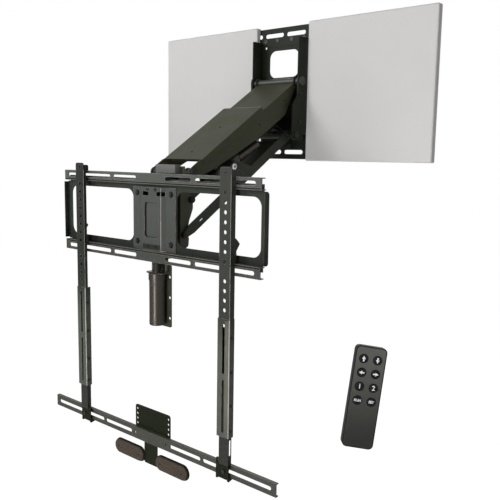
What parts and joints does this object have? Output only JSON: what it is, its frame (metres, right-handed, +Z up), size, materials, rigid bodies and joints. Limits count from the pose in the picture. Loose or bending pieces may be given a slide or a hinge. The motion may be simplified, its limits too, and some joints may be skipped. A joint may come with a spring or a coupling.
{
  "type": "motorised drop-down television mount",
  "caption": "Wall mount that lowers a television on two parallel arms with a linear actuator; the slotted screen frame swivels and carries a sliding sound bar rail; with hand control.",
  "frame": {"origin": "centre of the four wall-bolt slots, on the wall's face", "axes": "X to the right seen from the room, +Y into the wall, Z up; the screen faces -Y"},
  "size_m": [1.4613, 0.9603, 1.3535],
  "materials": {
    "powder_black": "satin black powder coat",
    "arm_paint": "dark olive grey powder coat",
    "cover_shell": "warm light grey, paintable",
    "bolt_black": "black oxide",
    "pin_steel": "darkened steel",
    "bush_plastic": "moulded",
    "pale_cap": "moulded",
    "grey_block": "satin mid grey",
    "bumper_rubber": "moulded rubber",
    "motor_black": "semi-gloss black",
    "box_plastic": "moulded",
    "pad_skin": "soft brown grey skin",
    "remote_shell": "fine matt black",
    "remote_key": "soft grey key"
  },
  "bodies": {
    "wall": {"wall_top_rail": "powder_black", "wall_bottom_rail": "powder_black", "wall_bracket": "powder_black", "pivot_cheeks": "powder_black", "wall_bolts": "bolt_black", "upper_pivot_shaft": "pin_steel", "lower_pivot_pin": "pin_steel", "actuator_anchor": "powder_black", "right_cover": "cover_shell", "left_cover": "cover_shell", "cover_clips": "bolt_black", "control_box": "box_plastic", "remote_front": "remote_shell", "remote_back": "remote_shell"},
    "upper_arm": {"upper_arm": "arm_paint", "arm_cover": "arm_paint", "arm_cover_screws": "bolt_black", "arm_bushes": "bush_plastic"},
    "lower_arm": {"lower_arm": "powder_black", "actuator_cross_pin": "pin_steel", "ear_caps": "pale_cap"},
    "actuator": {"actuator_housing": "motor_black", "actuator_tube": "motor_black", "lift_motor": "motor_black"},
    "rod": {"actuator_rod": "pin_steel"},
    "head": {"head_frame": "powder_black", "head_cap": "grey_block", "head_pivot_pins": "pin_steel", "stop_bumper": "bumper_rubber", "swivel_bushes": "bush_plastic", "motor_plate": "powder_black", "swivel_gearbox": "motor_black", "swivel_motor": "motor_black"},
    "screen_frame": {"swivel_shaft": "pin_steel", "frame_plate": "powder_black", "top_tv_rail": "powder_black", "bottom_tv_rail": "powder_black", "centre_plate": "powder_black", "hinge_blocks": "powder_black", "frame_bolts": "bolt_black", "right_tv_bar": "powder_black", "left_tv_bar": "powder_black", "bar_fixings": "bolt_black"},
    "right_latch": {"right_latch": "powder_black"},
    "left_latch": {"left_latch": "powder_black"},
    "carriage": {"extension_bars": "powder_black", "soundbar_clamps": "powder_black", "carriage_screws": "bolt_black", "soundbar_rail": "powder_black", "soundbar_plate": "powder_black", "pad_bracket": "powder_black", "soundbar_pads": "pad_skin"},
    "button_up": {"button_up": "remote_key"},
    "button_down": {"button_down": "remote_key"},
    "button_left": {"button_left": "remote_key"},
    "button_right": {"button_right": "remote_key"},
    "button_one": {"button_one": "remote_key"},
    "button_two": {"button_two": "remote_key"},
    "button_run": {"button_run": "remote_key"},
    "button_set": {"button_set": "remote_key"}
  },
  "joints": [
    {"name": "lift", "type": "hinge", "parent": "wall", "child": "upper_arm", "pos_m": [0, -0.041, 0.034], "axis": [-1, 0, 0], "range_deg": [0, 105]},
    {"name": "lower_arm_turn", "type": "hinge", "parent": "wall", "child": "lower_arm", "pos_m": [0, -0.065, -0.1414], "axis": [-1, 0, 0], "range_deg": [0, 105]},
    {"name": "head_turn", "type": "hinge", "parent": "upper_arm", "child": "head", "pos_m": [0, -0.5193, -0.26487], "axis": [-1, 0, 0], "range_deg": [-105, 0]},
    {"name": "actuator_swing", "type": "hinge", "parent": "lower_arm", "child": "actuator", "pos_m": [0, -0.33753, -0.2459], "axis": [-1, 0, 0], "range_deg": [-1.33, 0]},
    {"name": "rod_slide", "type": "slide", "parent": "actuator", "child": "rod", "axis": [0, -0.8989, -0.4381], "range_m": [0, 0.07383]},
    {"name": "swivel", "type": "hinge", "parent": "head", "child": "screen_frame", "pos_m": [0, -0.586, -0.38597], "axis": [0, 0, 1], "range_deg": [-30, 30]},
    {"name": "right_latch_turn", "type": "hinge", "parent": "screen_frame", "child": "right_latch", "pos_m": [0.3, -0.621, -0.46197], "axis": [1, 0, 0], "range_deg": [0, 16], "stiffness_Nm_per_rad": 0.3, "springref_deg": -5.73},
    {"name": "left_latch_turn", "type": "hinge", "parent": "screen_frame", "child": "left_latch", "pos_m": [-0.3, -0.621, -0.46197], "axis": [1, 0, 0], "range_deg": [0, 16], "stiffness_Nm_per_rad": 0.3, "springref_deg": -5.73},
    {"name": "carriage_slide", "type": "slide", "parent": "screen_frame", "child": "carriage", "axis": [0, 0, 1], "range_m": [-0.06, 0.06]},
    {"name": "button_up_press", "type": "slide", "parent": "wall", "child": "button_up", "axis": [-0.6365, 0.7586, -0.1392], "range_m": [0, 0.001], "stiffness_N_per_m": 300, "springref_m": -0.0005},
    {"name": "button_down_press", "type": "slide", "parent": "wall", "child": "button_down", "axis": [-0.6365, 0.7586, -0.1392], "range_m": [0, 0.001], "stiffness_N_per_m": 300, "springref_m": -0.0005},
    {"name": "button_left_press", "type": "slide", "parent": "wall", "child": "button_left", "axis": [-0.6365, 0.7586, -0.1392], "range_m": [0, 0.001], "stiffness_N_per_m": 300, "springref_m": -0.0005},
    {"name": "button_right_press", "type": "slide", "parent": "wall", "child": "button_right", "axis": [-0.6365, 0.7586, -0.1392], "range_m": [0, 0.001], "stiffness_N_per_m": 300, "springref_m": -0.0005},
    {"name": "button_one_press", "type": "slide", "parent": "wall", "child": "button_one", "axis": [-0.6365, 0.7586, -0.1392], "range_m": [0, 0.001], "stiffness_N_per_m": 300, "springref_m": -0.0005},
    {"name": "button_two_press", "type": "slide", "parent": "wall", "child": "button_two", "axis": [-0.6365, 0.7586, -0.1392], "range_m": [0, 0.001], "stiffness_N_per_m": 300, "springref_m": -0.0005},
    {"name": "button_run_press", "type": "slide", "parent": "wall", "child": "button_run", "axis": [-0.6365, 0.7586, -0.1392], "range_m": [0, 0.001], "stiffness_N_per_m": 300, "springref_m": -0.0005},
    {"name": "button_set_press", "type": "slide", "parent": "wall", "child": "button_set", "axis": [-0.6365, 0.7586, -0.1392], "range_m": [0, 0.001], "stiffness_N_per_m": 300, "springref_m": -0.0005}
  ],
  "couplings": [
    {"joint": "lower_arm_turn", "follows": "lift", "ratio": 1},
    {"joint": "head_turn", "follows": "lift", "ratio": -1},
    {"joint": "actuator_swing", "follows": "lift", "ratio": -0.012218},
    {"joint": "rod_slide", "follows": "lift", "m_per_rad": 0.040232}
  ]
}
